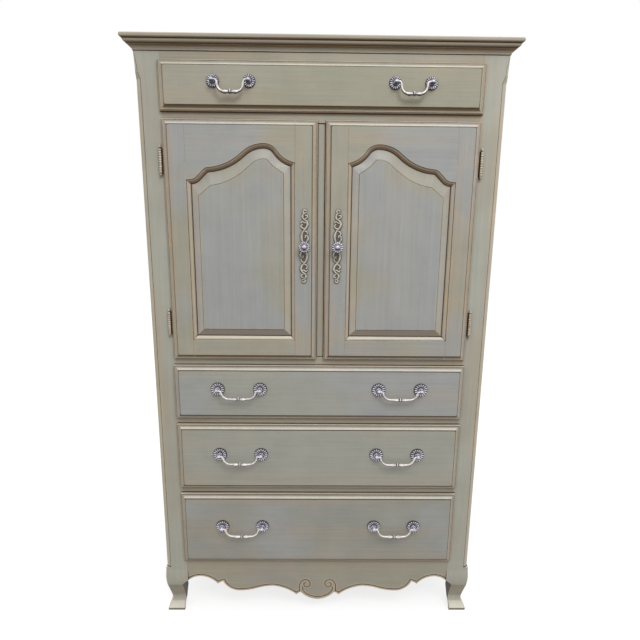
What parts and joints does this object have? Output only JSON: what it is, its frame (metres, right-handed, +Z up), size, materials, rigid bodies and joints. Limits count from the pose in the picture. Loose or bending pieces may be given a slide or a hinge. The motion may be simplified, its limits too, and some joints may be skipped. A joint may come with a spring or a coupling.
{
  "type": "television armoire",
  "caption": "Painted country-style cabinet for a television, with arched panelled doors, moulded drawers on swinging bail pulls, a scrolled apron and curved feet.",
  "frame": {"origin": "on the floor, in the middle of the armoire's bounding box in plan", "axes": "+X to the right as seen from the front, +Y to the back, +Z up"},
  "size_m": [1.052, 0.564, 1.762],
  "materials": {
    "antiqued_paint": "satin paint in a pale grey-green, rubbed through to cream on the edges, with a brown glaze in the hollows",
    "inner_wood": "clear lacquer on plain boards inside the case",
    "drawer_wood": "clear lacquer on drawer sides and bottoms",
    "back_board": "thin brown board, stained on both faces",
    "pull_metal": "cast metal, cream over dark, wiped so that the hollows stay dark",
    "hinge_metal": "aged metal, cream over dark",
    "pin_steel": "plain turned steel",
    "catch_plastic": "dark brown moulded body"
  },
  "bodies": {
    "case": {"front_post_left": "antiqued_paint", "front_post_right": "antiqued_paint", "rear_posts": "antiqued_paint", "top_rail": "antiqued_paint", "door_rails": "antiqued_paint", "drawer_rails": "antiqued_paint", "apron": "antiqued_paint", "side_rails": "antiqued_paint", "side_panels": "antiqued_paint", "back_panel": "back_board", "tv_deck": "inner_wood", "dust_panels": "inner_wood", "adjustable_shelf": "inner_wood", "shelf_pins": "pin_steel", "top_board": "antiqued_paint", "cornice": "antiqued_paint", "drawer_runners": "inner_wood", "hinge_case_leaves": "hinge_metal", "hinge_pins": "hinge_metal", "door_catches": "catch_plastic"},
    "left_door": {"left_door_stiles": "antiqued_paint", "left_door_top_rail": "antiqued_paint", "left_door_bottom_rail": "antiqued_paint", "left_door_panel": "antiqued_paint", "left_door_hinge_leaves": "hinge_metal", "left_door_escutcheon": "pull_metal", "left_door_knob": "pull_metal", "centre_strip": "antiqued_paint"},
    "right_door": {"right_door_stiles": "antiqued_paint", "right_door_top_rail": "antiqued_paint", "right_door_bottom_rail": "antiqued_paint", "right_door_panel": "antiqued_paint", "right_door_hinge_leaves": "hinge_metal", "right_door_escutcheon": "pull_metal", "right_door_knob": "pull_metal"},
    "drawer_1": {"drawer_1_front": "antiqued_paint", "drawer_1_box": "drawer_wood", "drawer_1_bottom": "drawer_wood", "drawer_1_rosettes": "pull_metal"},
    "drawer_1_bail_left": {"drawer_1_bail_left": "pull_metal"},
    "drawer_1_bail_right": {"drawer_1_bail_right": "pull_metal"},
    "drawer_2": {"drawer_2_front": "antiqued_paint", "drawer_2_box": "drawer_wood", "drawer_2_bottom": "drawer_wood", "drawer_2_rosettes": "pull_metal"},
    "drawer_2_bail_left": {"drawer_2_bail_left": "pull_metal"},
    "drawer_2_bail_right": {"drawer_2_bail_right": "pull_metal"},
    "drawer_3": {"drawer_3_front": "antiqued_paint", "drawer_3_box": "drawer_wood", "drawer_3_bottom": "drawer_wood", "drawer_3_rosettes": "pull_metal"},
    "drawer_3_bail_left": {"drawer_3_bail_left": "pull_metal"},
    "drawer_3_bail_right": {"drawer_3_bail_right": "pull_metal"},
    "drawer_4": {"drawer_4_front": "antiqued_paint", "drawer_4_box": "drawer_wood", "drawer_4_bottom": "drawer_wood", "drawer_4_rosettes": "pull_metal"},
    "drawer_4_bail_left": {"drawer_4_bail_left": "pull_metal"},
    "drawer_4_bail_right": {"drawer_4_bail_right": "pull_metal"}
  },
  "joints": [
    {"name": "left_door_hinge", "type": "hinge", "parent": "case", "child": "left_door", "pos_m": [-0.4415, -0.24475, 1.2195], "axis": [0, 0, -1], "range_deg": [0, 110]},
    {"name": "right_door_hinge", "type": "hinge", "parent": "case", "child": "right_door", "pos_m": [0.4415, -0.24475, 1.2195], "axis": [0, 0, 1], "range_deg": [0, 110]},
    {"name": "drawer_1_slide", "type": "slide", "parent": "case", "child": "drawer_1", "axis": [0, -1, 0], "range_m": [0, 0.38]},
    {"name": "drawer_1_bail_left_swing", "type": "hinge", "parent": "drawer_1", "child": "drawer_1_bail_left", "pos_m": [-0.2415, -0.27475, 1.648], "axis": [-1, 0, 0], "range_deg": [-12, 90]},
    {"name": "drawer_1_bail_right_swing", "type": "hinge", "parent": "drawer_1", "child": "drawer_1_bail_right", "pos_m": [0.2415, -0.27475, 1.648], "axis": [-1, 0, 0], "range_deg": [-12, 90]},
    {"name": "drawer_2_slide", "type": "slide", "parent": "case", "child": "drawer_2", "axis": [0, -1, 0], "range_m": [0, 0.38]},
    {"name": "drawer_2_bail_left_swing", "type": "hinge", "parent": "drawer_2", "child": "drawer_2_bail_left", "pos_m": [-0.2415, -0.27475, 0.792], "axis": [-1, 0, 0], "range_deg": [-12, 90]},
    {"name": "drawer_2_bail_right_swing", "type": "hinge", "parent": "drawer_2", "child": "drawer_2_bail_right", "pos_m": [0.2415, -0.27475, 0.792], "axis": [-1, 0, 0], "range_deg": [-12, 90]},
    {"name": "drawer_3_slide", "type": "slide", "parent": "case", "child": "drawer_3", "axis": [0, -1, 0], "range_m": [0, 0.38]},
    {"name": "drawer_3_bail_left_swing", "type": "hinge", "parent": "drawer_3", "child": "drawer_3_bail_left", "pos_m": [-0.2415, -0.27475, 0.58], "axis": [-1, 0, 0], "range_deg": [-12, 90]},
    {"name": "drawer_3_bail_right_swing", "type": "hinge", "parent": "drawer_3", "child": "drawer_3_bail_right", "pos_m": [0.2415, -0.27475, 0.58], "axis": [-1, 0, 0], "range_deg": [-12, 90]},
    {"name": "drawer_4_slide", "type": "slide", "parent": "case", "child": "drawer_4", "axis": [0, -1, 0], "range_m": [0, 0.38]},
    {"name": "drawer_4_bail_left_swing", "type": "hinge", "parent": "drawer_4", "child": "drawer_4_bail_left", "pos_m": [-0.2415, -0.27475, 0.3305], "axis": [-1, 0, 0], "range_deg": [-12, 90]},
    {"name": "drawer_4_bail_right_swing", "type": "hinge", "parent": "drawer_4", "child": "drawer_4_bail_right", "pos_m": [0.2415, -0.27475, 0.3305], "axis": [-1, 0, 0], "range_deg": [-12, 90]}
  ]
}
